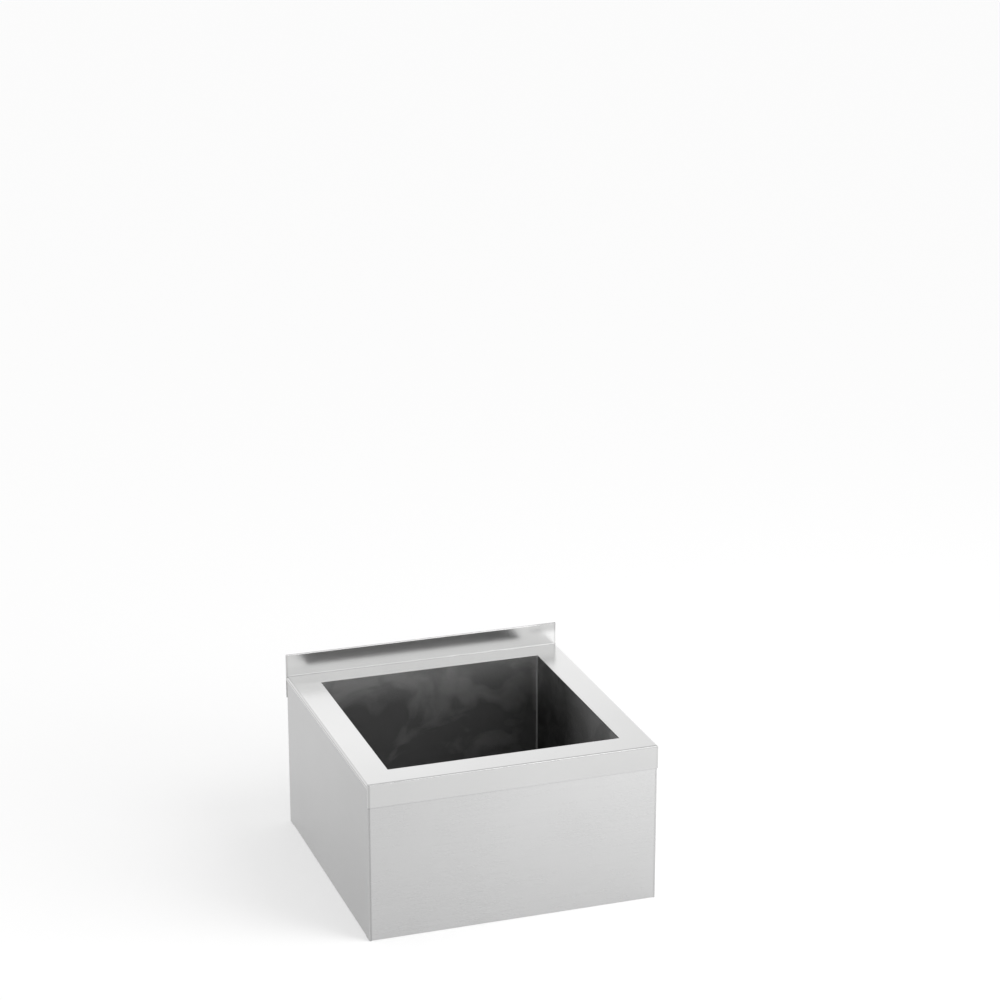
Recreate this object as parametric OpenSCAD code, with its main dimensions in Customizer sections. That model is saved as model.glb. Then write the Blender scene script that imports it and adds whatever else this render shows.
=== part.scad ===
// Stainless steel floor-standing mop service sink with a deep square bowl.
// Origin: on the floor, below the middle of the outline. Front faces -Y, wall face is +Y.

/* [Overall] */
// Width over the deck
sink_w = 635; // [560:1:760]
// Depth from the front lip to the wall face
sink_d = 635; // [560:1:760]
// Height of the bowl floor above the ground, where the walls meet it
bowl_floor_h = 50.8; // [50:0.1:90]
// Thickness of the folded steel sheet
sheet_t = 1.5; // [1.2:0.1:2]

/* [Deck] */
// Width of the deck band on the left and right of the bowl
side_band_w = 63.5; // [55:0.5:90]
// Width of the deck band in front of the bowl
front_band_w = 63.5; // [55:0.5:90]
// Width of the deck band behind the bowl, out to the wall face
rear_band_w = 63.5; // [55:0.5:90]
// Drop of the front lip and of the rear lip below the deck
lip_h = 50.8; // [30:0.1:80]
// Drop of the side flanges below the deck
side_flange_h = 8; // [8:0.5:25]
// Outside radius of the bends along the deck's edges
nose_r = 4.5; // [3:0.5:7]
// Outside radius of the front lip's welded upright corners
lip_corner_r = 3; // [2.5:0.5:3.5]
// Height of the upstand above the deck
upstand_h = 50.8; // [30:0.1:150]
// Thickness of the folded upstand, over both its sheets
upstand_t = 5; // [4.5:0.1:8]
// Inside radius where the deck turns up into the upstand
upstand_foot_r = 1.5; // [1:0.5:6]

/* [Skirt] */
// Outside radius of the upright corner bends
corner_r = 3; // [3:0.5:12]
// Flat stretch of each side panel past its corner bend
return_flat = 1; // [1:0.5:20]
// Gap at the welded seam beside the front and rear panels
seam_gap = 0.2; // [0.1:0.1:0.8]
// Width of the flanges that are turned in along the ground
foot_flange_w = 25.4; // [15:0.1:40]
// Outside radius of the bend above the ground
foot_bend_r = 3; // [2.5:0.1:5]
// Leg of the triangular gussets in the bottom corners
gusset_leg = 90; // [60:1:140]
// Thickness of the gussets
gusset_t = 3; // [2:0.5:6]

/* [Bowl] */
// Depth of the bowl at its walls, below the deck's top
bowl_depth = 298.5; // [150:0.1:400]
// Inside radius where the front and rear walls turn into the floor
cove_r = 12.7; // [6:0.1:30]
// Fall of the bowl floor from the walls to the middle
floor_fall = 3; // [1:0.1:5]
// Depth of the pressed seat for the drain flange, below the middle of the floor
drain_seat_depth = 2; // [1:0.1:3]

/* [Bowl supports] */
// Width of each support channel
channel_w = 40; // [25:1:60]
// Height of each support channel
channel_h = 22; // [12:0.5:26]
// Outside radius of the channels' bends
channel_bend_r = 3; // [2.5:0.1:5]
// Distance of each channel from the middle of the bowl
channel_offset = 150; // [110:1:190]
// Thickness of the rubber strips on the channels
strip_t = 3; // [2:0.5:5]
// Distance from each channel's edges in to its rubber strip
strip_inset = 5; // [3:0.5:10]
// Length of the rubber strips
strip_len = 240; // [100:1:400]
// Length of each sound pad, front to back
pad_len = 180; // [80:1:200]
// Width of each sound pad
pad_w = 110; // [60:1:130]
// Thickness of the sound pads
pad_t = 2.5; // [1:0.5:5]

/* [Drain] */
// Radius of the drain flange
flange_r = 57; // [52:0.5:65]
// Thickness of the drain flange
flange_t = 2; // [1.5:0.1:3]
// Thickness that is left at the flange's thinned edge
flange_edge_t = 0.5; // [0.3:0.1:1]
// Width of the slope down to that edge
flange_slope_w = 2; // [1:0.5:4]
// Outside radius of the drain cup, over its thread
cup_r = 44; // [42:0.1:46]
// Wall of the drain cup
cup_wall = 2.5; // [1.5:0.1:3]
// Thickness of the drain cup's floor
cup_floor_t = 2; // [1.5:0.1:2.5]
// Bevel where the drain cup's wall meets its floor
cup_bevel = 2; // [1:0.1:3]
// Depth of the drain cup below the flange seat
cup_depth = 26; // [25:0.1:27]
// Thickness of the rubber gasket under the bowl
gasket_t = 3; // [2:0.5:4]
// Thickness of the fibre ring under the gasket
fibre_t = 1; // [0.5:0.1:2]
// Radius of the gasket and of the fibre ring
gasket_r = 58; // [54:0.5:62]
// Height of the big locknut
locknut_h = 8.5; // [6:0.5:11]
// Radius of the big locknut inside its lugs
locknut_r = 52; // [49:0.5:55]
// Number of lugs round the locknut
lug_count = 6; // [3:1:8]
// Length of the locknut's lugs
lug_len = 6; // [3:0.5:8]
// Width of the locknut's lugs
lug_w = 12; // [8:0.5:16]
// Outside radius of the outlet, over its thread
outlet_r = 24; // [23:0.1:25]
// Inside radius of the outlet
outlet_in_r = 20; // [19.5:0.1:20.5]
// Radius of the hole for the waste pipe, which is 38.1 mm across
pipe_hole_r = 19.3; // [19.2:0.05:19.4]
// Height of the outlet nut
outlet_nut_h = 14; // [10:0.5:15]
// Radius of the outlet nut over its flats
outlet_nut_r = 29; // [28:0.5:34]
// Thickness of the outlet nut's lower lip
outlet_lip_t = 2.5; // [1.5:0.1:3.5]
// Thickness of the outlet washer
washer_t = 3; // [2:0.5:4]
// Room between the outlet nut and the ground
ground_gap = 3; // [2:0.5:5]

/* [Strainer] */
// Thickness of the strainer's sheet
basket_t = 1; // [0.6:0.1:1.5]
// Depth of the strainer below its rim
basket_depth = 10; // [8:0.5:11]
// Outside radius of the strainer at its mouth
basket_r = 37; // [34:0.5:38]
// Outside radius of the strainer at its base
basket_base_r = 33; // [30:0.5:36]
// Width of the strainer's rim on its ledge
ledge_w = 2.5; // [1.5:0.1:3]
// Radius of the strainer's round holes
strainer_hole_r = 1.6; // [1:0.1:2]
// Spacing of the strainer's round holes
hole_pitch = 7; // [6:0.5:9]
// Radius of the guide hub in the middle of the strainer
hub_r = 6; // [5:0.5:8]
// Height of the guide hub above the strainer's base
hub_h = 6; // [4:0.5:7]
// Radius of the lift post
post_r = 3; // [2.5:0.1:4]
// Step from the post out to its collar
collar_step = 1.5; // [0.5:0.1:3]
// Length of thread that stands out below the post's nut
thread_end = 1; // [0.5:0.5:3]
// Travel of the lift post from closed to open
post_travel = 7; // [4:0.5:8]
// Radius of the rubber stopper
stopper_r = 25; // [23:0.5:28]
// Thickness of the rubber stopper
stopper_t = 4; // [3:0.5:5]
// Bevel round the stopper's top edge
stopper_bevel = 1; // [0.5:0.1:2]
// Depth of the stopper's plug, which centres it in the outlet
plug_depth = 3; // [2:0.5:5]
// Taper of the plug, from its top to its end
plug_taper = 4; // [1:0.5:6]
// Radial room round the plug's top in the outlet
plug_room = 2.5; // [1:0.5:4]
// Radius of the backing washer on the stopper
backing_r = 16; // [10:0.5:20]
// Thickness of the backing washer
backing_t = 1.2; // [0.8:0.1:2]
// Radius of the lift knob
knob_r = 9; // [7:0.5:12]
// Height of the lift knob
knob_h = 14; // [11:0.5:20]
// Radius of the knob's waist
knob_waist_r = 5; // [4:0.5:6]
// Height of the knob's waist
knob_waist_h = 4.2; // [3:0.1:5]
// Height of the flare above the waist
knob_flare_h = 3.5; // [2:0.1:4]
// Radius of the knob's rounded top edge
knob_edge_r = 3; // [1.5:0.1:3.5]
// Depth of the hole in the knob for the post
knob_bore_h = 7; // [4:0.5:9]
// Height of the nut under the stopper
post_nut_h = 3.5; // [2.5:0.5:5]
// Width across the flats of that nut
post_nut_af = 11; // [10:0.5:14]

/* [Hidden] */
$fn = 96;

// Clearances
seat_clear = 0.3;      // between a piece and the bend above or beside it
thread_clear = 0.05;   // radial, between a nut and its thread
running_clear = 0.05;  // radial, between the post and its hub
slip_clear = 0.3;      // radial, round a ring on the drain cup
glue_gap = 0.1;        // film of glue under a pad or strip
rim_clear = 0.4;       // radial, round the strainer's rim in the drain
flange_gap = 0.5;      // between the foot flanges where they meet in a corner
over = 1;              // how far a cut runs past a face
weld_lap = 5;          // how far a bend's section runs on into the flat beside it
punch_len = 12;        // length of the cut through the strainer's wall
hole_fn = 24;          // facets round the strainer's small holes

// Levels
rim_h = bowl_floor_h + bowl_depth;
deck_under = rim_h - sheet_t;
upstand_top = rim_h + upstand_h;
deck_rear = sink_d / 2 - upstand_t - upstand_foot_r;
panel_top = rim_h - nose_r - seat_clear;

// Outline of the skirt's outer faces, one sheet inside the deck's edges
skirt_x = sink_w / 2 - sheet_t;
skirt_y = sink_d / 2 - sheet_t;
panel_end_x = skirt_x - corner_r - return_flat - seam_gap;
flange_end_y = skirt_y - foot_flange_w - flange_gap;

// Bowl, inside faces
bowl_x = sink_w / 2 - side_band_w;
bowl_front = -sink_d / 2 + front_band_w;
bowl_rear = sink_d / 2 - rear_band_w;
bowl_cy = (bowl_front + bowl_rear) / 2;
bowl_half_d = (bowl_rear - bowl_front) / 2;
floor_margin = 10;     // flat border of the floor round its pitched middle
pitch_x = bowl_x - floor_margin;
pitch_y = bowl_half_d - cove_r - floor_margin;
floor_mid = bowl_floor_h - floor_fall;

// Drain levels
seat_z = floor_mid - drain_seat_depth;
seat_room = 1.5;       // radial room round the flange in its pressed seat
hole_room = 1;         // radial room round the cup in the hole of the floor
seat_r = flange_r + seat_room;
hole_r = cup_r + hole_room;
gasket_top = seat_z - sheet_t;
fibre_top = gasket_top - gasket_t;
locknut_top = fibre_top - fibre_t;
cup_in_r = cup_r - cup_wall;
cup_base = seat_z - cup_depth;
cup_floor = cup_base + cup_floor_t;
outlet_end = ground_gap + outlet_lip_t + washer_t;

// Strainer levels, the strainer hanging by its rim on a ledge at the flange seat
ledge_z = seat_z;
ledge_r = cup_in_r + seat_clear;
rim_r = ledge_r - rim_clear;
basket_base = ledge_z - basket_depth;
stopper_low = cup_floor + glue_gap;
stopper_top = stopper_low + stopper_t;
backing_top = stopper_top + backing_t;
hub_top = basket_base + basket_t + hub_h;
knob_low = hub_top + seat_clear;
post_low_end = stopper_low - plug_depth - post_nut_h - thread_end;
collar_top = basket_base - seat_clear - post_travel;

// ---------- plain shapes ----------

// A profile drawn in X and Z, drawn out along Y
module along_y(y0, len) {
    translate([0, y0 + len, 0])
        rotate([90, 0, 0])
            linear_extrude(len) children();
}

// A profile drawn in Y and Z, drawn out along X
module along_x(x0, len) {
    translate([x0, 0, 0])
        rotate([90, 0, 90])
            linear_extrude(len) children();
}

// A quarter of a sheet bend, in the first quadrant
module quarter_bend(r_out, t) {
    intersection() {
        difference() {
            circle(r_out);
            circle(r_out - t);
        }
        square(r_out);
    }
}

module ring(r_out, r_in, h) {
    difference() {
        cylinder(r = r_out, h = h);
        translate([0, 0, -over]) cylinder(r = r_in, h = h + 2 * over);
    }
}

// Places what is drawn round the drain's axis
module at_drain(z = 0) {
    translate([0, bowl_cy, z]) children();
}

module both_sides() {
    children();
    mirror([1, 0, 0]) children();
}

// ---------- deck ----------

// Solid with its left, right and front top edges rounded, its front corners rounded
// in plan, and its rear end square
module deck_block(inset, rear, bottom) {
    r = nose_r - inset;
    plan_r = lip_corner_r - inset;
    side = sink_w / 2 - inset;
    front = -sink_d / 2 + inset;
    top = rim_h - inset;
    intersection() {
        along_y(front - over, rear - front + 2 * over) {
            polygon([
                [-side, bottom], [side, bottom], [side, top - r],
                [side - r, top], [r - side, top], [-side, top - r]
            ]);
            for (s = [-1, 1]) translate([s * (side - r), top - r]) circle(r);
        }
        along_x(-side - over, 2 * side + 2 * over) {
            polygon([
                [front, bottom], [rear, bottom], [rear, top],
                [front + r, top], [front, top - r]
            ]);
            translate([front + r, top - r]) circle(r);
        }
        translate([0, 0, bottom - over]) linear_extrude(top - bottom + 2 * over) {
            polygon([
                [-side, front + plan_r], [plan_r - side, front], [side - plan_r, front],
                [side, front + plan_r], [side, rear + over], [-side, rear + over]
            ]);
            for (s = [-1, 1]) translate([s * (side - plan_r), front + plan_r]) circle(plan_r);
        }
    }
}

// Bend from the deck up into the upstand
module upstand_foot() {
    translate([deck_rear, rim_h + upstand_foot_r])
        rotate(-90) quarter_bend(upstand_foot_r + sheet_t, sheet_t);
}

// The upstand: up from the deck, folded over at its top, and down as the rear lip
module upstand_section() {
    front = deck_rear + upstand_foot_r;
    fold_r = upstand_t / 2;
    fold_z = upstand_top - fold_r;
    upstand_foot();
    translate([front, rim_h + upstand_foot_r])
        square([sheet_t, fold_z - rim_h - upstand_foot_r]);
    translate([front + fold_r, fold_z]) {
        quarter_bend(fold_r, sheet_t);
        mirror([1, 0]) quarter_bend(fold_r, sheet_t);
    }
    translate([sink_d / 2 - sheet_t, rim_h - lip_h])
        square([sheet_t, fold_z - rim_h + lip_h]);
}

// Filled outline of the upstand's end, from the bottom of the side flange to the fold
module upstand_end_section() {
    front = deck_rear + upstand_foot_r;
    fold_r = upstand_t / 2;
    fold_z = upstand_top - fold_r;
    flange_z = rim_h - side_flange_h;
    translate([front, flange_z]) square([upstand_t, fold_z - flange_z]);
    translate([front + fold_r, fold_z]) circle(fold_r);
    translate([deck_rear, flange_z]) square([upstand_foot_r, side_flange_h]);
}

module top_deck() {
    color("lightgray") {
        difference() {
            deck_block(0, deck_rear, rim_h - lip_h);
            deck_block(sheet_t, deck_rear + over, rim_h - lip_h - over);
            translate([-sink_w / 2 - over, -sink_d / 2 + sheet_t, rim_h - lip_h - over])
                cube([sink_w + 2 * over, sink_d, lip_h - side_flange_h + over]);
            translate([-bowl_x, bowl_front, deck_under - over])
                cube([2 * bowl_x, bowl_rear - bowl_front, sheet_t + 2 * over]);
        }
        along_x(-sink_w / 2, sink_w) upstand_section();
        // Plates that close the ends of the upstand
        both_sides() along_x(sink_w / 2 - sheet_t, sheet_t) upstand_end_section();
        // The foot again between the rounded side edges, run on into the deck's flat
        along_x(-sink_w / 2 + nose_r, sink_w - 2 * nose_r) {
            upstand_foot();
            polygon([
                [deck_rear - weld_lap, deck_under], [deck_rear, deck_under],
                [deck_rear, rim_h], [deck_rear - weld_lap, rim_h]
            ]);
        }
    }
}

// ---------- skirt ----------

// Plan of the right-hand side panel: flat side, two corner bends, two short returns
module side_panel_plan() {
    bend_x = skirt_x - corner_r;
    bend_y = skirt_y - corner_r;
    translate([skirt_x - sheet_t, -bend_y]) square([sheet_t, 2 * bend_y]);
    for (m = [0, 1]) mirror([0, m]) {
        translate([bend_x, bend_y]) quarter_bend(corner_r, sheet_t);
        translate([bend_x - return_flat, skirt_y - sheet_t]) square([return_flat, sheet_t]);
    }
}

// Section of a foot flange whose upright sheet has its outer face at 0 and lies at -X
module foot_section() {
    translate([-foot_bend_r, foot_bend_r])
        rotate(-90) quarter_bend(foot_bend_r, sheet_t);
    translate([-foot_flange_w, 0]) square([foot_flange_w - foot_bend_r, sheet_t]);
}

module side_panel() {
    difference() {
        linear_extrude(panel_top) side_panel_plan();
        translate([skirt_x - sheet_t - over, -flange_end_y, -over])
            cube([sheet_t + 2 * over, 2 * flange_end_y, foot_bend_r + over]);
    }
    along_y(-flange_end_y, 2 * flange_end_y)
        translate([skirt_x, 0]) foot_section();
}

module right_side_panel() {
    color("silver") side_panel();
}

module left_side_panel() {
    color("silver") mirror([1, 0, 0]) side_panel();
}

// Rear panel as drawn; the front panel is its mirror image
module end_panel() {
    translate([-panel_end_x, skirt_y - sheet_t, foot_bend_r])
        cube([2 * panel_end_x, sheet_t, panel_top - foot_bend_r]);
    along_x(-panel_end_x, 2 * panel_end_x)
        translate([skirt_y, 0]) foot_section();
}

module front_panel() {
    color("silver") mirror([0, 1, 0]) end_panel();
}

module rear_panel() {
    color("silver") end_panel();
}

module corner_gussets() {
    corner_x = skirt_x - foot_bend_r - seat_clear;
    corner_y = skirt_y - foot_bend_r - seat_clear;
    color("darkgray")
        for (sx = [-1, 1], sy = [-1, 1])
            translate([0, 0, sheet_t])
                linear_extrude(gusset_t)
                    polygon([
                        [sx * corner_x, sy * corner_y],
                        [sx * (corner_x - gusset_leg), sy * corner_y],
                        [sx * corner_x, sy * (corner_y - gusset_leg)]
                    ]);
}

// ---------- bowl ----------

// Front wall and its cove; the rear wall is the same, mirrored
module wall_section() {
    translate([bowl_front - sheet_t, bowl_floor_h + cove_r])
        square([sheet_t, deck_under - bowl_floor_h - cove_r]);
    translate([bowl_front + cove_r, bowl_floor_h + cove_r])
        rotate(180) quarter_bend(cove_r + sheet_t, sheet_t);
    translate([bowl_front + cove_r, bowl_floor_h - sheet_t])
        square([weld_lap, sheet_t]);
}

function rect_points(hx, hy, z) = [[-hx, -hy, z], [hx, -hy, z], [hx, hy, z], [-hx, hy, z]];

// Floor sheet: a flat border round four faces that fall to the middle
module pitched_floor() {
    border = rect_points(bowl_x, bowl_half_d - cove_r, 0);
    fold = rect_points(pitch_x, pitch_y, 0);
    top = concat(border, fold, [[0, 0, -floor_fall]]);
    n = len(top);
    middle = n - 1;
    corners = len(border);
    last = corners - 1;
    points = concat(top, [for (p = top) p - [0, 0, sheet_t]]);
    function after(i) = (i + 1) % corners;
    faces = concat(
        [for (i = [0:last]) [i, i + corners, after(i) + corners, after(i)]],
        [for (i = [0:last]) [i + corners, middle, after(i) + corners]],
        [for (i = [0:last]) [after(i) + n, after(i) + corners + n, i + corners + n, i + n]],
        [for (i = [0:last]) [after(i) + corners + n, middle + n, i + corners + n]],
        [for (i = [0:last]) [i, after(i), after(i) + n, i + n]]
    );
    polyhedron(points, faces);
}

module bowl_wrap() {
    color("gainsboro")
        difference() {
            union() {
                along_x(-bowl_x, 2 * bowl_x) {
                    wall_section();
                    translate([2 * bowl_cy, 0]) mirror([1, 0]) wall_section();
                }
                at_drain(bowl_floor_h) pitched_floor();
                at_drain(seat_z - sheet_t)
                    cylinder(r = seat_r + sheet_t, h = drain_seat_depth + sheet_t);
            }
            at_drain(seat_z) cylinder(r = seat_r, h = floor_fall + drain_seat_depth + over);
            at_drain(seat_z - sheet_t - over) cylinder(r = hole_r, h = sheet_t + 2 * over);
        }
}

// Flat end of the bowl, welded to the ends of the bent wrap
module bowl_end_section() {
    r = cove_r + sheet_t;
    low = bowl_floor_h - sheet_t;
    front = bowl_front - sheet_t;
    width = bowl_rear - bowl_front + 2 * sheet_t;
    translate([front, low + r]) square([width, deck_under - low - r]);
    translate([front + r, low]) square([width - 2 * r, r]);
    translate([front + r, low + r]) circle(r);
    translate([front + width - r, low + r]) circle(r);
}

module bowl_left_end() {
    color("gainsboro") along_x(-bowl_x - sheet_t, sheet_t) bowl_end_section();
}

module bowl_right_end() {
    color("gainsboro") along_x(bowl_x, sheet_t) bowl_end_section();
}

// ---------- supports under the bowl ----------

strip_w = channel_w - 2 * strip_inset;

// Underside of the floor at the strip's inner edge, its lowest point there
strip_top = bowl_floor_h - sheet_t - glue_gap
    - floor_fall * (1 - (channel_offset - strip_w / 2) / pitch_y);
channel_top = strip_top - strip_t;

module channel_section() {
    r = channel_bend_r;
    half = channel_w / 2;
    translate([-half + r, channel_top - sheet_t]) square([channel_w - 2 * r, sheet_t]);
    for (m = [0, 1]) mirror([m, 0]) {
        translate([half - r, channel_top - r]) quarter_bend(r, sheet_t);
        translate([half - sheet_t, channel_top - channel_h]) square([sheet_t, channel_h - r]);
    }
}

module channel(side) {
    half_len = skirt_x - sheet_t;
    along_x(-half_len, 2 * half_len)
        translate([bowl_cy + side * channel_offset, 0]) channel_section();
}

module front_channel() {
    color("darkgray") channel(-1);
}

module rear_channel() {
    color("darkgray") channel(1);
}

module channel_strips() {
    color("dimgray")
        for (side = [-1, 1])
            translate([-strip_len / 2, bowl_cy + side * channel_offset - strip_w / 2, channel_top])
                cube([strip_len, strip_w, strip_t]);
}

// Sheets of rubber stuck under the left and right faces of the floor
module sound_pads() {
    slope = atan(floor_fall / pitch_x);
    middle_x = (pitch_x + seat_r) / 2;
    under = bowl_floor_h - sheet_t - glue_gap - floor_fall * (1 - middle_x / pitch_x);
    color("dimgray") both_sides()
        translate([middle_x, bowl_cy, under])
            rotate([0, -slope, 0])
                translate([-pad_w / 2, -pad_len / 2, -pad_t])
                    cube([pad_w, pad_len, pad_t]);
}

// ---------- drain ----------

// Flange, ledge, cup and threaded outlet as one turned shape
module drain_body() {
    flange_top = seat_z + flange_t;
    color("lightgray") at_drain() rotate_extrude()
        polygon([
            [outlet_in_r, outlet_end],
            [outlet_r, outlet_end],
            [outlet_r, cup_base],
            [cup_r - cup_bevel, cup_base],
            [cup_r, cup_base + cup_bevel],
            [cup_r, seat_z],
            [flange_r, seat_z],
            [flange_r, seat_z + flange_edge_t],
            [flange_r - flange_slope_w, flange_top],
            [ledge_r + ledge_w, flange_top],
            [ledge_r + ledge_w, ledge_z],
            [cup_in_r, ledge_z],
            [cup_in_r, cup_floor + cup_bevel],
            [cup_in_r - cup_bevel, cup_floor],
            [outlet_in_r, cup_floor]
        ]);
}

module drain_gasket() {
    color("black") at_drain(fibre_top) ring(gasket_r, cup_r + slip_clear, gasket_t);
}

module fibre_ring() {
    color("peru") at_drain(locknut_top) ring(gasket_r, cup_r + slip_clear, fibre_t);
}

module drain_locknut() {
    color("goldenrod") at_drain(locknut_top - locknut_h)
        difference() {
            union() {
                cylinder(r = locknut_r, h = locknut_h);
                for (i = [0:lug_count - 1]) rotate(i * 360 / lug_count)
                    translate([0, -lug_w / 2, 0]) cube([locknut_r + lug_len, lug_w, locknut_h]);
            }
            translate([0, 0, -over]) cylinder(r = cup_r + thread_clear, h = locknut_h + 2 * over);
        }
}

module outlet_washer() {
    color("black") at_drain(ground_gap + outlet_lip_t)
        ring(outlet_r - slip_clear, pipe_hole_r + thread_clear, washer_t);
}

// Eight-sided nut with a lower lip that holds the washer against the outlet
module outlet_nut() {
    sides = 8;
    color("goldenrod") at_drain(ground_gap)
        difference() {
            cylinder(r = outlet_nut_r / cos(180 / sides), h = outlet_nut_h, $fn = sides);
            translate([0, 0, outlet_lip_t]) cylinder(r = outlet_r + thread_clear, h = outlet_nut_h);
            translate([0, 0, -over]) cylinder(r = pipe_hole_r, h = outlet_nut_h);
        }
}

// ---------- strainer ----------

// How many holes fit round a circle
function holes_round(r) = floor(2 * PI * r / hole_pitch);

module strainer_basket() {
    base_w = basket_base_r - basket_t - hub_r;
    rows = floor(base_w / hole_pitch);
    wall_mid_r = (basket_r + basket_base_r) / 2;
    side_holes = holes_round(wall_mid_r);
    color("lightgray") at_drain()
        difference() {
            rotate_extrude()
                polygon([
                    [post_r + running_clear, basket_base],
                    [basket_base_r, basket_base],
                    [basket_r, ledge_z - basket_t],
                    [basket_r, ledge_z],
                    [rim_r + ledge_w, ledge_z],
                    [rim_r + ledge_w, ledge_z + basket_t],
                    [basket_r - basket_t, ledge_z + basket_t],
                    [basket_base_r - basket_t, basket_base + basket_t],
                    [hub_r, basket_base + basket_t],
                    [hub_r, hub_top],
                    [post_r + running_clear, hub_top]
                ]);
            for (row = [1:rows])
                let (row_r = hub_r + base_w * row / (rows + 1), holes = holes_round(row_r))
                    for (i = [0:holes - 1])
                        rotate((i + 0.5) * 360 / holes)
                            translate([row_r, 0, basket_base - over])
                                cylinder(r = strainer_hole_r, h = basket_t + 2 * over, $fn = hole_fn);
            for (i = [0:side_holes - 1])
                rotate(i * 360 / side_holes)
                    translate([wall_mid_r - punch_len / 2, 0, ledge_z - basket_depth / 2])
                        rotate([0, 90, 0]) cylinder(r = strainer_hole_r, h = punch_len, $fn = hole_fn);
        }
}

// Turned post with a collar, which rests on the backing washer and stops the post's rise
module lift_post() {
    post_top = knob_low + knob_bore_h;
    color("silver") at_drain() {
        translate([0, 0, post_low_end]) cylinder(r = post_r, h = post_top - post_low_end);
        translate([0, 0, backing_top]) cylinder(r = post_r + collar_step, h = collar_top - backing_top);
    }
}

module lift_knob() {
    edge_z = knob_h - knob_edge_r;
    color("silver") at_drain(knob_low)
        difference() {
            rotate_extrude() {
                polygon([
                    [0, 0],
                    [knob_waist_r, 0],
                    [knob_waist_r, knob_waist_h],
                    [knob_r, knob_waist_h + knob_flare_h],
                    [knob_r, edge_z],
                    [0, edge_z]
                ]);
                square([knob_r - knob_edge_r, knob_h]);
                translate([knob_r - knob_edge_r, edge_z]) quarter_bend(knob_edge_r, knob_edge_r);
            }
            translate([0, 0, -over]) cylinder(r = post_r, h = knob_bore_h + over);
        }
}

module backing_washer() {
    color("silver") at_drain(stopper_top) ring(backing_r, post_r + thread_clear, backing_t);
}

module rubber_stopper() {
    plug_r = outlet_in_r - plug_room;
    color("black") at_drain(stopper_low)
        difference() {
            rotate_extrude()
                polygon([
                    [0, -plug_depth],
                    [plug_r - plug_taper, -plug_depth],
                    [plug_r, 0],
                    [stopper_r, 0],
                    [stopper_r, stopper_t - stopper_bevel],
                    [stopper_r - stopper_bevel, stopper_t],
                    [0, stopper_t]
                ]);
            translate([0, 0, -plug_depth - over])
                cylinder(r = post_r + thread_clear, h = stopper_t + plug_depth + 2 * over);
        }
}

module post_nut() {
    sides = 6;
    color("goldenrod") at_drain(stopper_low - plug_depth - post_nut_h)
        difference() {
            cylinder(r = post_nut_af / 2 / cos(180 / sides), h = post_nut_h, $fn = sides);
            translate([0, 0, -over]) cylinder(r = post_r + thread_clear, h = post_nut_h + 2 * over);
        }
}

// ---------- the part ----------

top_deck();
left_side_panel();
right_side_panel();
front_panel();
rear_panel();
corner_gussets();
bowl_wrap();
bowl_left_end();
bowl_right_end();
front_channel();
rear_channel();
channel_strips();
sound_pads();
drain_body();
drain_gasket();
fibre_ring();
drain_locknut();
outlet_washer();
outlet_nut();
strainer_basket();
lift_post();
lift_knob();
backing_washer();
rubber_stopper();
post_nut();
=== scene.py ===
import math

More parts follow.
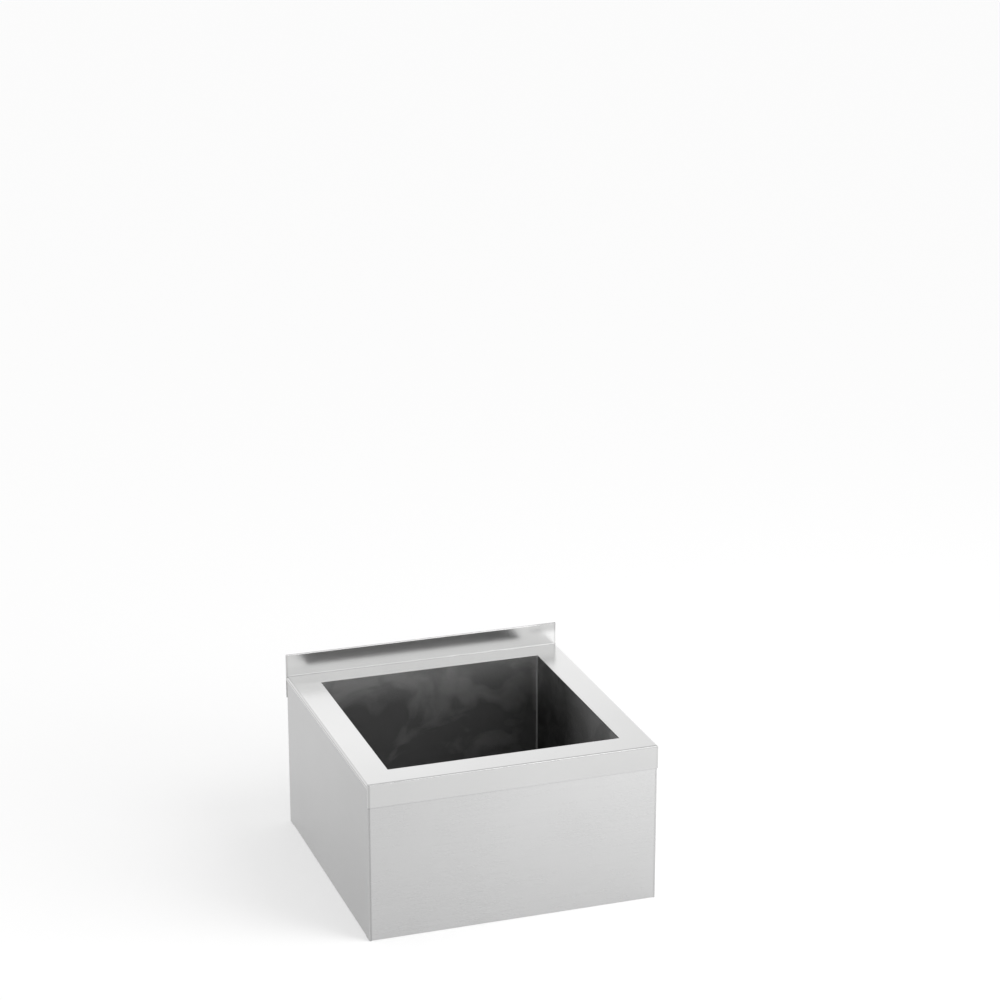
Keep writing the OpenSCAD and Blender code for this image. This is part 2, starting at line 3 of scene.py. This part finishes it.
import bmesh
import bpy
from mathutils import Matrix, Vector


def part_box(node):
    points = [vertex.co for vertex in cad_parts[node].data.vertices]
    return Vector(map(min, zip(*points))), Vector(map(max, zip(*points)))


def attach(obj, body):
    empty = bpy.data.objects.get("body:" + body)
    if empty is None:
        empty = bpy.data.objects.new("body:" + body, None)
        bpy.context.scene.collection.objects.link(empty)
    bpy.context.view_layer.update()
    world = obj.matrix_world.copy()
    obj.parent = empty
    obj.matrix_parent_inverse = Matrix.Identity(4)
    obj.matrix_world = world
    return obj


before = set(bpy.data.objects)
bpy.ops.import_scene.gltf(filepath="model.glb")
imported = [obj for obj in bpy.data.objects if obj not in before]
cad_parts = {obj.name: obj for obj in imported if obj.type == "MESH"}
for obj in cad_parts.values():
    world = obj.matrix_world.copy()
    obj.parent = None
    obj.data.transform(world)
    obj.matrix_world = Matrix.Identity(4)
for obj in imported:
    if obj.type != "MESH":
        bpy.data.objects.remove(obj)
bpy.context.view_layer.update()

# ---------------------------------------------------------------------------
# Studio floor and light.
# A plain pale floor, lit a little from within but dark under the sink, runs out past the picture.
# The white sky is brighter low down, and a soft sun and a broad lamp stand to the right front.
# ---------------------------------------------------------------------------
class Shade:
    """A value in a finish or in the sky. Sums written with it add Math nodes."""

    def __init__(self, socket):
        self.socket = socket

    def node(self, kind, settings=None, inputs=None, output=0):
        """Adds a node of any kind: its settings first, then each input's value or link."""
        tree = self.socket.id_data
        made = tree.nodes.new(kind)
        for name, value in (settings or {}).items():
            setattr(made, name, value)
        for name, value in (inputs or {}).items():
            if isinstance(value, Shade):
                tree.links.new(value.socket, made.inputs[name])
            else:
                made.inputs[name].default_value = value
        return Shade(made.outputs[output])

    def maths(self, operation, first, second=0.0):
        return self.node("ShaderNodeMath", {"operation": operation}, {0: first, 1: second})

    def __add__(self, other):
        return self.maths("ADD", self, other)

    def __radd__(self, other):
        return self.maths("ADD", other, self)

    def __sub__(self, other):
        return self.maths("SUBTRACT", self, other)

    def __rsub__(self, other):
        return self.maths("SUBTRACT", other, self)

    def __mul__(self, other):
        return self.maths("MULTIPLY", self, other)

    def __rmul__(self, other):
        return self.maths("MULTIPLY", other, self)

    def __abs__(self):
        return self.maths("ABSOLUTE", self)

    def rising(self, low, high):
        """0 below low, 1 above high, smooth between them."""
        settings = {"interpolation_type": "SMOOTHSTEP"}
        return self.node("ShaderNodeMapRange", settings, {"Value": self, "From Min": low, "From Max": high})

    def axis(self, name):
        return self.node("ShaderNodeSeparateXYZ", {}, {0: self}, name)

    def noise(self, per_metre, detail=2.0, rough=0.5):
        """Noise with so many features to a metre: one number for every way, or one for each axis."""
        scale = (per_metre,) * 3 if isinstance(per_metre, float) else per_metre
        squeezed = self.node("ShaderNodeMapping", {}, {"Vector": self, "Scale": scale})
        inputs = {"Vector": squeezed, "Scale": 1.0, "Detail": detail, "Roughness": rough}
        return self.node("ShaderNodeTexNoise", {}, inputs)

    def tint(self, darker, lighter):
        """A colour between two, by this value."""
        settings = {"data_type": "RGBA"}
        return self.node("ShaderNodeMix", settings, {0: self, 6: (*darker, 1), 7: (*lighter, 1)}, 2)

    def bump(self, metres, strength=1.0):
        """The normal of a surface raised by this value times metres."""
        inputs = {"Height": self, "Distance": metres, "Strength": strength}
        return self.node("ShaderNodeBump", {}, inputs, "Normal")


floor_size = 80.0
floor_drop = 0.0005
floor_grey = 0.60
floor_glow = 0.40
floor_roughness = 0.9
under_sink = 0.31
under_sink_fade = 0.02

bpy.ops.object.select_all(action="DESELECT")
bpy.ops.mesh.primitive_plane_add(size=floor_size, location=(0, 0, -floor_drop))
bpy.ops.object.transform_apply(location=True)
floor = bpy.context.object
floor.name = "studio_floor"
floor_paint = bpy.data.materials.new("studio_floor_paint")
floor_paint.use_nodes = True
floor_coat = floor_paint.node_tree.nodes["Principled BSDF"]
floor_coat.inputs["Base Color"].default_value = (floor_grey, floor_grey, floor_grey, 1)
floor_coat.inputs["Roughness"].default_value = floor_roughness
floor_coat.inputs["Specular IOR Level"].default_value = 0.0
floor_coat.inputs["Emission Strength"].default_value = floor_glow
floor_place = Shade(floor_paint.node_tree.nodes.new("ShaderNodeTexCoord").outputs["Object"])
out_from_middle = floor_place.maths("MAXIMUM", abs(floor_place.axis("X")), abs(floor_place.axis("Y")))
beside_sink = out_from_middle.rising(under_sink - under_sink_fade, under_sink)
floor_light = beside_sink.tint((0, 0, 0), (1, 1, 1))
floor_paint.node_tree.links.new(floor_light.socket, floor_coat.inputs["Emission Color"])
floor.data.materials.append(floor_paint)

horizon_glow = 1.36
overhead_glow = 0.66
overhead_from = 0.9
right_glow = 0.05
sky = bpy.data.worlds.new("studio_sky")
sky.use_nodes = True
backdrop = sky.node_tree.nodes["Background"]
backdrop.inputs["Color"].default_value = (1, 1, 1, 1)
towards = Shade(sky.node_tree.nodes.new("ShaderNodeTexCoord").outputs["Generated"])
up = towards.axis("Z").rising(0.0, overhead_from)
glow = horizon_glow + up * (overhead_glow - horizon_glow) + towards.axis("X") * right_glow
sky.node_tree.links.new(glow.socket, backdrop.inputs["Strength"])
bpy.context.scene.world = sky
bpy.context.scene.view_settings.view_transform = "Standard"

sun_from = Vector((2.2, -2.0, 3.2))
sun_strength = 0.5
sun_spread = 30
bpy.ops.object.light_add(type="SUN", location=sun_from)
sun = bpy.context.object
sun.name = "soft_sun"
sun.data.energy = sun_strength
sun.data.angle = math.radians(sun_spread)
sun.rotation_euler = (-sun_from).to_track_quat("-Z", "Y").to_euler()

lamp_from = Vector((1.6, -1.6, 0.8))
lamp_to = Vector((0.7, -0.9, 0))
lamp_size = 1.6
lamp_watts = 34
bpy.ops.object.light_add(type="AREA", location=lamp_from)
lamp = bpy.context.object
lamp.name = "broad_lamp"
lamp.data.size = lamp_size
lamp.data.energy = lamp_watts
lamp.visible_glossy = False
lamp.rotation_euler = (lamp_to - lamp_from).to_track_quat("-Z", "Y").to_euler()

# ---------------------------------------------------------------------------
# Camera.
# It stands about six metres off, a little to the left and above, with a long lens.
# ---------------------------------------------------------------------------
camera_place = Vector((-1.7561, -5.3287, 2.6490))
camera_aim = Vector((0.0219, -0.1579, 0.8703))
camera_lens = 101.06
camera_sensor = 36

bpy.ops.object.camera_add(location=camera_place)
camera = bpy.context.object
camera.name = "camera"
camera.data.lens = camera_lens
camera.data.sensor_width = camera_sensor
camera.rotation_euler = (camera_aim - camera_place).to_track_quat("-Z", "Y").to_euler()
bpy.context.scene.camera = camera


# ---------------------------------------------------------------------------
# Top deck.
# One sheet of 1.5 mm stainless steel, folded down at the front and sides and up into the
# upstand at the rear. It is brushed along its length, with its corners welded and ground.
# ---------------------------------------------------------------------------
def new_finish(name, **constants):
    """A new material. Returns it with the piece's own coordinates to work from."""
    material = bpy.data.materials.new(name)
    material.use_nodes = True
    coat = material.node_tree.nodes["Principled BSDF"]
    for socket, value in constants.items():
        coat.inputs[socket.replace("_", " ")].default_value = value
    place = material.node_tree.nodes.new("ShaderNodeTexCoord").outputs["Object"]
    return material, Shade(place)


def lay_on(material, **parts):
    """Feeds a finish's colour, roughness and normal to its surface."""
    coat = material.node_tree.nodes["Principled BSDF"]
    for socket, value in parts.items():
        material.node_tree.links.new(value.socket, coat.inputs[socket.replace("_", " ")])


def wear(node_name, material):
    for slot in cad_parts[node_name].material_slots:
        slot.material = material


mm = 0.001


def brushed_steel(name, dark, light, roughness, along, wave_mm=0.0, painted_shade=None):
    """Satin sheet, brushed along one axis, softly clouded, and waved by wave_mm.
    The optional function gives, at each place on the piece, painted shade from 0 for none to 1 for darkest."""
    lines_along, lines_across = 26.0, 1300.0
    streaks_along, streaks_across = 4.0, 200.0
    clouds_per_m, smears_per_m, waves_per_m = 7.0, 30.0, 5.0
    line_depth_mm, painted_shade_depth = 0.005, 0.45
    material, place = new_finish(name, Metallic=1.0)
    lines = place.noise([lines_along if axis == along else lines_across for axis in "XYZ"], 3.0, 0.6)
    streaks = place.noise([streaks_along if axis == along else streaks_across for axis in "XYZ"], 2.0)
    clouds = place.noise(clouds_per_m, 2.0)
    smears = place.noise(smears_per_m, 3.0, 0.6).rising(0.5, 0.8)
    tone = (clouds * 0.5 + streaks * 0.25 + lines * 0.25).rising(0.2, 0.8)
    gloss = roughness + (lines - 0.5) * 0.05 + (streaks - 0.5) * 0.02 + (clouds - 0.5) * 0.03 + smears * 0.01
    colour = tone.tint(dark, light)
    # Painted shade: the colour is mixed towards a darker grey as far as the mask asks.
    if painted_shade:
        shaded_dark = [channel * (1 - painted_shade_depth) for channel in dark]
        painted_shade_mask = painted_shade(place)
        colour = painted_shade_mask.node("ShaderNodeMix", {"data_type": "RGBA"}, {0: painted_shade_mask, 6: colour, 7: (*shaded_dark, 1)}, 2)
    waves = place.noise(waves_per_m, 1.0)
    relief = lines * line_depth_mm + waves * wave_mm
    lay_on(material, Base_Color=colour, Roughness=gloss, Normal=relief.bump(mm))
    return material


def ground_band_and_shade(place, weld_x, half_w):
    """1 along each upright weld, 0 from half_w beside it: a ground band, stronger on the left as painted
    shade.
    """
    core, faint, middle = 0.4, 0.2, 0.1
    left = (-1 * place.axis("X")).rising(-middle, middle)
    beside = abs(abs(place.axis("X")) - weld_x)
    return (1 - beside.rising(half_w * core, half_w)) * (left * (1 - faint) + faint)


def deck_painted_shade(place):
    """Painted shade: a little on the flat, more towards the front right and evenly at its rear, and more
    again on the front lip (most to the right) and the side bends. The lip's welded corners have a narrow
    ground band, darker on the left as painted shade. The upstand's foot fold and right end get painted
    shade."""
    lip_at, lip_turn, lip_right, corner_at, corner_w = 0.3145, 0.002, 0.3, 0.3130, 0.0030
    bend_at, bend_turn, bend_low, bend_start, bend_high = 0.3132, 0.001, 0.3440, 0.002, 0.3492
    rear_from, rear_to = 0.24, 0.27
    fold_at, fold_turn, fold_high, fold_fade = 0.3085, 0.001, 0.3505, 0.0015
    end_from, end_to, end_low, end_high = 0.24, 0.29, 0.372, 0.39
    lip_shade, lip_right_shade, lip_corner_band_and_shade = 0.65, 0.1, 0.36
    bend_shade, bend_high_less = 0.87, 0.41
    flat_shade, flat_slope, rear_shade = 0.11, 0.43, 0.17
    fold_shade, end_shade = 0.1, 0.6
    across, back, height = place.axis("X"), place.axis("Y"), place.axis("Z")
    lip = (-1 * back).rising(lip_at, lip_at + lip_turn)
    lip_corner = ground_band_and_shade(place, corner_at, corner_w)
    lip_face = lip_shade + across.rising(0.0, lip_right) * lip_right_shade + lip_corner * lip_corner_band_and_shade
    bend = abs(across).rising(bend_at, bend_at + bend_turn) * height.rising(bend_low - bend_start, bend_low)
    bend_face = bend_shade - height.rising(bend_low, bend_high) * bend_high_less
    rear = back.rising(rear_from, rear_to)
    flat = (flat_shade + (across - back) * flat_slope) * (1 - rear) + rear * rear_shade
    below_fold = 1 - height.rising(fold_high, fold_high + fold_fade)
    fold = back.rising(fold_at, fold_at + fold_turn) * below_fold
    right_end = across.rising(end_from, end_to) * height.rising(end_low, end_high)
    behind_lip = bend * bend_face + (1 - bend) * flat
    return lip * lip_face + (1 - lip) * behind_lip + fold * fold_shade + right_end * end_shade


# The deck's tones are set far lighter than the skirt's, though it is the same sheet: painted light.
deck_steel = brushed_steel(
    "deck_steel", (0.763, 0.763, 0.761), (0.807, 0.807, 0.804), roughness=0.22, along="X", wave_mm=0.12,
    painted_shade=deck_painted_shade,
)
wear("top_deck", deck_steel)

# ---------------------------------------------------------------------------
# Skirt.
# Four panels of the same sheet, welded at the upright seams. Each has a flange turned in along
# the ground. The side panels wrap round the corners, and a gusset ties each pair of flanges.
# ---------------------------------------------------------------------------
def skirt_painted_shade(place):
    """Painted shade: front and rear get a painted shadow under the lip, a ground band by each upright seam
    (darker on the left as shade) and shade growing leftwards; the sides get shade growing frontwards."""
    lip_low, shade_drop, seam_at, seam_w = 0.2985, 0.005, 0.3128, 0.0028
    face_from, face_to = 0.310, 0.3145
    left_from, left_to, front_from, front_to = -0.05, 0.35, -0.1, 0.35
    under_lip_shadow, seam_band_and_shade, far_side_shade = 0.27, 0.45, 0.12
    under_lip = place.axis("Z").rising(lip_low - shade_drop, lip_low)
    front_or_rear = abs(place.axis("Y")).rising(face_from, face_to)
    seam = ground_band_and_shade(place, seam_at, seam_w)
    far_left = (-1 * place.axis("X")).rising(left_from, left_to)
    far_front = (-1 * place.axis("Y")).rising(front_from, front_to)
    face = under_lip * under_lip_shadow + seam * seam_band_and_shade + far_left * far_side_shade
    return front_or_rear * face + (1 - front_or_rear) * far_front * far_side_shade


def grey(value):
    return (value, value, value)


# The side panels' tones are a shade darker than the front and rear panels': painted shade.
side_steel = brushed_steel(
    "side_skirt_steel", grey(0.52), grey(0.55), roughness=0.38, along="Y", wave_mm=0.1, painted_shade=skirt_painted_shade
)
front_steel = brushed_steel(
    "front_skirt_steel", grey(0.53), grey(0.56), roughness=0.28, along="X", wave_mm=0.1, painted_shade=skirt_painted_shade
)
gusset_steel = brushed_steel("gusset_steel", grey(0.42), grey(0.52), roughness=0.42, along="X")
wear("left_side_panel", side_steel)
wear("right_side_panel", side_steel)
wear("front_panel", front_steel)
wear("rear_panel", front_steel)
wear("corner_gussets", gusset_steel)

# ---------------------------------------------------------------------------
# Bowl.
# A front wall, floor and rear wall bent from one sheet, between two flat ends. The welds are
# ground flush and the inside is polished by hand, which leaves it clouded.
# ---------------------------------------------------------------------------
bowl_side = 0.254
rim_from, rim_to = 0.2, 0.36


def hand_polished(name, dark, light, roughness, smoke_tone, seam_axis, seam_tone, painted_light):
    """Sheet polished by hand: smoky clouds, slow waves, and a band of another tone by each ground seam.
    The given function takes the place on the piece and gives how much painted light brightens it there."""
    swirls_per_m, swirl_reach = 7.0, (0.16, 0.16, 0.2)
    smoke_per_m, waves_per_m, scratches_per_m = (9.0, 9.0, 13.0), (4.0, 4.0, 7.0), 260.0
    seam_band, wave_depth_mm, scratch_depth_mm = 0.02, 1.6, 0.01
    material, place = new_finish(name, Metallic=1.0)
    swirl = place.node("ShaderNodeTexNoise", {}, {"Vector": place, "Scale": swirls_per_m, "Detail": 2.0}, 1)
    drift = {0: swirl, 1: swirl_reach, 2: place}
    bent = place.node("ShaderNodeVectorMath", {"operation": "MULTIPLY_ADD"}, drift)
    smoke = bent.noise(smoke_per_m, 3.0, 0.5).rising(0.34, 0.68)
    scratches = place.noise(scratches_per_m, 4.0, 0.7)
    seam = abs(place.axis(seam_axis)).rising(bowl_side - seam_band, bowl_side)
    tone = smoke * smoke_tone + scratches * 0.15 + seam * seam_tone + painted_light(place)
    gloss = roughness + (0.5 - smoke) * 0.12 + (scratches - 0.5) * 0.08 + seam * 0.08
    waves = bent.noise(waves_per_m, 1.0)
    relief = waves * wave_depth_mm + scratches * scratch_depth_mm
    lay_on(material, Base_Color=tone.tint(dark, light), Roughness=gloss, Normal=relief.bump(mm))
    return material


def wrap_painted_light(place):
    """Painted light: the wrap is painted brighter near the rim and towards the front."""
    rear_y, front_y = 0.3, -0.3
    rim_gain, front_gain, rear_low = 0.45, 1.1, -0.3
    rim = place.axis("Z").rising(rim_from, rim_to)
    front = (-1 * place.axis("Y")).rising(-rear_y, -front_y)
    return rim * rim_gain + front * front_gain + rear_low


def end_painted_light(place):
    """Painted light: the front half of each end is painted brighter, most by the front corner."""
    half_from_y, half_to_y, corner_from_y, corner_to_y = 0.10, -0.02, 0.05, -0.28
    rim_gain, half_gain, corner_gain, rear_low = 0.1, 0.26, 0.75, -0.05
    rim = place.axis("Z").rising(rim_from, rim_to)
    front_half = (-1 * place.axis("Y")).rising(-half_from_y, -half_to_y)
    front_corner = (-1 * place.axis("Y")).rising(-corner_from_y, -corner_to_y)
    return rim * rim_gain + front_half * half_gain + front_corner * corner_gain + rear_low


# Both bowl finishes are painted lighter near the rim and towards the front: painted light.
wrap_steel = hand_polished(
    "bowl_wrap_steel", grey(0.16), grey(0.78), roughness=0.44, smoke_tone=0.36, seam_axis="X",
    seam_tone=0.17, painted_light=wrap_painted_light,
)
end_steel = hand_polished(
    "bowl_end_steel", grey(0.06), grey(0.84), roughness=0.42, smoke_tone=0.17, seam_axis="Y",
    seam_tone=-0.08, painted_light=end_painted_light,
)
wear("bowl_wrap", wrap_steel)
wear("bowl_left_end", end_steel)
wear("bowl_right_end", end_steel)

# ---------------------------------------------------------------------------
# Corner welds of the bowl.
# A bead of weld metal runs down, along and up each end of the bowl, where the bent wrap meets the
# flat end. It is ground to a small hollow corner and polished.
# ---------------------------------------------------------------------------
def fresh_start():
    """Nothing stays selected, so that what comes next acts on the new piece alone."""
    if bpy.context.object and bpy.context.object.mode == "EDIT":
        bpy.ops.object.mode_set(mode="OBJECT")
    bpy.ops.object.select_all(action="DESELECT")


def choose(piece, wanted):
    """In edit mode: selects the corners of the mesh that pass, with the faces between them."""
    bpy.ops.mesh.select_all(action="DESELECT")
    bpy.ops.mesh.select_mode(type="VERT")
    shape = bmesh.from_edit_mesh(piece.data)
    for corner in shape.verts:
        corner.select_set(wanted(corner.co))
    shape.select_flush_mode()
    bmesh.update_edit_mesh(piece.data)


def pull(x=0.0, y=0.0, z=0.0):
    """Draws the selected face out into a bar."""
    bpy.ops.mesh.extrude_region_move(TRANSFORM_OT_translate={"value": (x, y, z)})


def finish_piece(piece, name, body, finish, smooth_angle=40):
    """Cleans the mesh, shades its curves smooth, and puts the piece on its body with its finish."""
    bpy.ops.object.mode_set(mode="EDIT")
    bpy.ops.mesh.select_all(action="SELECT")
    bpy.ops.mesh.remove_doubles(threshold=0.000001)
    bpy.ops.mesh.normals_make_consistent(inside=False)
    bpy.ops.object.mode_set(mode="OBJECT")
    bpy.ops.object.transform_apply(location=True, rotation=True, scale=True)
    bpy.ops.object.shade_smooth_by_angle(angle=math.radians(smooth_angle))
    piece.name = name
    piece.data.materials.clear()
    piece.data.materials.append(finish)
    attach(piece, body)


# The corner welds take the wrap's painted light.
weld_steel = hand_polished(
    "corner_weld_steel", grey(0.34), grey(0.58), roughness=0.36, smoke_tone=0.45, seam_axis="X",
    seam_tone=0.0, painted_light=wrap_painted_light,
)
weld_leg = 0.0035
weld_cut = 0.97
weld_hollow = 0.12
bowl_cove = 0.0127
bowl_floor_z = 0.0508
weld_top = 0.3478
cove_middle_z = bowl_floor_z + bowl_cove
for side, weld_name in ((1, "bowl_right_weld"), (-1, "bowl_left_weld")):
    fresh_start()
    bpy.ops.mesh.primitive_plane_add(
        size=weld_leg, location=(bowl_side - weld_leg / 2, weld_leg / 2 - bowl_side, weld_top)
    )
    bpy.ops.object.transform_apply(location=True)
    weld = bpy.context.object
    bpy.ops.object.mode_set(mode="EDIT")
    choose(weld, lambda at: at.x < bowl_side - weld_leg / 2 and at.y > weld_leg / 2 - bowl_side)
    bpy.ops.mesh.bevel(affect="VERTICES", offset=weld_leg * weld_cut, segments=5, profile=weld_hollow)
    bpy.ops.mesh.select_all(action="SELECT")
    pull(z=cove_middle_z - weld_top)
    for rear, lift in ((-1, 0.0), (1, weld_top - cove_middle_z)):
        middle = (0, rear * (bowl_side - bowl_cove), cove_middle_z)
        bpy.ops.mesh.spin(steps=8, angle=math.radians(-90), center=middle, axis=(1, 0, 0))
        pull(y=0 if lift else 2 * (bowl_side - bowl_cove), z=lift)
    bpy.ops.object.mode_set(mode="OBJECT")
    if side < 0:
        bpy.ops.transform.resize(value=(-1, 1, 1), center_override=(0, 0, 0))
        bpy.ops.object.transform_apply(location=True, rotation=True, scale=True)
    finish_piece(weld, weld_name, "sink", weld_steel)

# ---------------------------------------------------------------------------
# Weld beads inside the skirt.
# Nobody grinds these: a rippled bead of weld metal runs up each side of every channel end and along
# both legs of every gusset, and the heat has tinted it straw and blue.
# ---------------------------------------------------------------------------
def weld_bead(name, length, start, turn, finish):
    """A rippled bead drawn along X from start, then turned about it: one puddle after another. Each of
    a puddle's steps takes a share of its length and brings the bead to a share of its full size."""
    bead_r, ripple, tip, tail = 0.0018, 0.0022, 0.4, 0.45
    puddle_steps = ((0.25, 1.0), (0.45, 1.06), (0.30, 0.86))
    fresh_start()
    bpy.ops.mesh.primitive_circle_add(
        vertices=10, radius=bead_r * tip, fill_type="NGON", location=(0, 0, 0),
        rotation=(0, math.radians(90), 0),
    )
    bead = bpy.context.object
    bpy.ops.object.transform_apply(location=True, rotation=True, scale=True)
    bpy.ops.object.mode_set(mode="EDIT")
    bpy.ops.mesh.select_all(action="SELECT")
    at, size = 0.0, tip
    puddles = round(length / ripple)
    for puddle in range(puddles):
        for share, wanted in puddle_steps:
            if puddle == puddles - 1 and wanted < 1:
                wanted = tail
            at += share * length / puddles
            pull(x=share * length / puddles)
            bpy.ops.transform.resize(value=(wanted / size,) * 3, center_override=(at, 0, 0))
            size = wanted
    bpy.ops.object.mode_set(mode="OBJECT")
    bead.rotation_euler = turn
    bead.location = start
    bpy.ops.object.transform_apply(location=True, rotation=True, scale=True)
    finish_piece(bead, name, "sink", finish, smooth_angle=60)
    return bead


def copied(piece, name, flip):
    """Another of the same piece, mirrored to the far side, with a mesh of its own."""
    fresh_start()
    piece.select_set(True)
    bpy.context.view_layer.objects.active = piece
    bpy.ops.object.duplicate()
    twin = bpy.context.object
    bpy.ops.transform.resize(value=flip, center_override=(0, 0, 0))
    bpy.ops.object.transform_apply(location=True, rotation=True, scale=True)
    finish_piece(twin, name, "sink", piece.data.materials[0], smooth_angle=60)


bead_steel, bead_place = new_finish("heat_tinted_weld", Metallic=1.0)
heat = bead_place.noise(90.0, 3.0).rising(0.35, 0.65)
soot = bead_place.noise(600.0, 3.0)
lay_on(
    bead_steel,
    Base_Color=heat.tint((0.46, 0.38, 0.28), (0.34, 0.36, 0.42)),
    Roughness=0.34 + soot * 0.25,
    Normal=soot.bump(0.1 * mm, 0.5),
)
mirrors = (("left", (-1, 1, 1)), ("rear_right", (1, -1, 1)), ("rear_left", (-1, -1, 1)))
bead_out, bead_clear = 0.0008, 0.002
channel_low, channel_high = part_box("front_channel")
for web_name, web_y, off in (("outer", channel_low[1], -bead_out), ("inner", channel_high[1], bead_out)):
    bead_from = (channel_high[0] - bead_out, web_y + off, channel_low[2] + bead_clear)
    bead_len = channel_high[2] - channel_low[2] - 2 * bead_clear
    up_turn = (0, math.radians(-90), 0)
    bead = weld_bead("channel_bead_" + web_name, bead_len, bead_from, up_turn, bead_steel)
    for where, flip in mirrors:
        copied(bead, "channel_bead_" + web_name + "_" + where, flip)

gusset_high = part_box("corner_gussets")[1]
gusset_corner = gusset_high[0]
gusset_run, gusset_clear = 0.062, 0.018
leg_at = gusset_corner - gusset_clear - gusset_run
for leg_name, bead_from, turn_z in (
    ("side", (gusset_corner, -leg_at, gusset_high[2]), math.radians(-90)),
    ("front", (leg_at, -gusset_corner, gusset_high[2]), 0),
):
    bead = weld_bead("gusset_bead_" + leg_name, gusset_run, bead_from, (0, 0, turn_z), bead_steel)
    for where, flip in mirrors:
        copied(bead, "gusset_bead_" + leg_name + "_" + where, flip)

# ---------------------------------------------------------------------------
# Supports under the bowl.
# Two channels of folded stainless sheet run across and are welded to the side panels, with rubber
# strips on top. Rubber pads are stuck under the bowl's floor to quieten it.
# ---------------------------------------------------------------------------
channel_steel = brushed_steel("channel_steel", grey(0.42), grey(0.52), roughness=0.42, along="X")
wear("front_channel", channel_steel)
wear("rear_channel", channel_steel)


def rubber(name, dark, light, roughness):
    """Black rubber, finely pitted, with a dusty bloom."""
    material, place = new_finish(name)
    bloom = place.noise(60.0, 4.0)
    pits = place.noise(2500.0, 2.0)
    colour = bloom.rising(0.3, 0.75).tint(dark, light)
    lay_on(material, Base_Color=colour, Roughness=roughness + bloom * 0.2, Normal=pits.bump(0.05 * mm, 0.6))
    return material


pad_rubber = rubber("pad_rubber", (0.018, 0.018, 0.019), (0.045, 0.045, 0.046), roughness=0.6)
wear("channel_strips", pad_rubber)
wear("sound_pads", pad_rubber)

# ---------------------------------------------------------------------------
# Drain.
# A pressed steel cup with a flange that seats in the bowl's floor. Below it a rubber gasket, a
# fibre ring and a cast brass locknut clamp it, and a brass nut and washer take the waste pipe.
# ---------------------------------------------------------------------------
drain_steel = brushed_steel("drain_steel", grey(0.60), grey(0.68), roughness=0.2, along="X")
wear("drain_body", drain_steel)
seal_rubber = rubber("seal_rubber", grey(0.014), grey(0.030), roughness=0.45)
wear("drain_gasket", seal_rubber)
wear("outlet_washer", seal_rubber)

fibre, fibre_place = new_finish("pressed_fibre")
flecks = fibre_place.noise(900.0, 4.0, 0.7)
lay_on(
    fibre,
    Base_Color=flecks.rising(0.3, 0.7).tint((0.30, 0.17, 0.08), (0.48, 0.32, 0.18)),
    Roughness=0.75 + flecks * 0.2,
    Normal=flecks.bump(0.1 * mm, 0.5),
)
wear("fibre_ring", fibre)

brass, brass_place = new_finish("cast_brass", Metallic=1.0)
sand = brass_place.noise(700.0, 4.0, 0.6)
stain = brass_place.noise(45.0, 3.0)
lay_on(
    brass,
    Base_Color=(stain * 0.6 + sand * 0.4).rising(0.3, 0.7).tint((0.36, 0.25, 0.11), (0.66, 0.50, 0.25)),
    Roughness=0.32 + sand * 0.2,
    Normal=sand.bump(0.15 * mm, 0.5),
)
wear("drain_locknut", brass)
wear("outlet_nut", brass)


def screw_thread(name, radius, low, high, pitch):
    """A V thread round an upright barrel: one tooth's section, wound up it by a Screw modifier."""
    tooth_share, tooth_flat, bite, turn_steps = 0.52, 0.6, 0.0001, 64
    tooth_r = pitch * tooth_share
    start_z = low + pitch / 2
    rise = high - low - pitch
    fresh_start()
    bpy.ops.mesh.primitive_circle_add(
        vertices=3, radius=tooth_r, location=(radius, 0, start_z),
        rotation=(math.radians(90), math.radians(90), 0),
    )
    thread = bpy.context.object
    bpy.ops.object.transform_apply(location=True, rotation=True, scale=True)
    bpy.ops.object.mode_set(mode="EDIT")
    bpy.ops.mesh.select_all(action="SELECT")
    bpy.ops.transform.resize(value=(tooth_flat, 1, 1), center_override=(radius, 0, start_z))
    bpy.ops.transform.translate(value=(tooth_r * tooth_flat / 2 - bite, 0, 0))
    bpy.ops.object.mode_set(mode="OBJECT")
    sweep = thread.modifiers.new("sweep", "SCREW")
    sweep.axis = "Z"
    sweep.screw_offset = rise
    sweep.angle = math.tau * rise / pitch
    sweep.steps = sweep.render_steps = round(turn_steps * rise / pitch)
    bpy.ops.object.modifier_apply(modifier="sweep")
    bpy.ops.object.mode_set(mode="EDIT")
    bpy.ops.mesh.select_all(action="SELECT")
    bpy.ops.mesh.fill_holes(sides=3)
    finish_piece(thread, name, "sink", drain_steel, smooth_angle=30)


cup_r, cup_low, cup_pitch = 0.0440, 0.0218, 0.0022
outlet_r, outlet_high, outlet_pitch = 0.0240, 0.0198, 0.0012
locknut_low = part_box("drain_locknut")[0][2]
outlet_nut_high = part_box("outlet_nut")[1][2]
screw_thread("cup_thread", cup_r, cup_low, locknut_low, cup_pitch)
screw_thread("outlet_thread", outlet_r, outlet_nut_high, outlet_high, outlet_pitch)

# ---------------------------------------------------------------------------
# Strainer and stopper.
# A perforated steel basket hangs by its rim in the drain. A turned steel post slides in its hub: the
# knob lifts it, and with it the rubber stopper, which a washer and a brass nut hold to its lower end.
# ---------------------------------------------------------------------------
strainer_steel = brushed_steel("strainer_steel", grey(0.60), grey(0.68), roughness=0.2, along="X")
wear("strainer_basket", strainer_steel)

turned, turned_place = new_finish("turned_steel", Metallic=1.0)
rings = turned_place.noise((40.0, 40.0, 4000.0), 2.0)
lay_on(
    turned,
    Base_Color=rings.rising(0.2, 0.8).tint(grey(0.60), grey(0.70)),
    Roughness=0.14 + rings * 0.1,
    Normal=rings.bump(0.02 * mm, 0.5),
)
for turned_piece in ("lift_post", "lift_knob", "backing_washer"):
    wear(turned_piece, turned)
wear("rubber_stopper", seal_rubber)
wear("post_nut", brass)
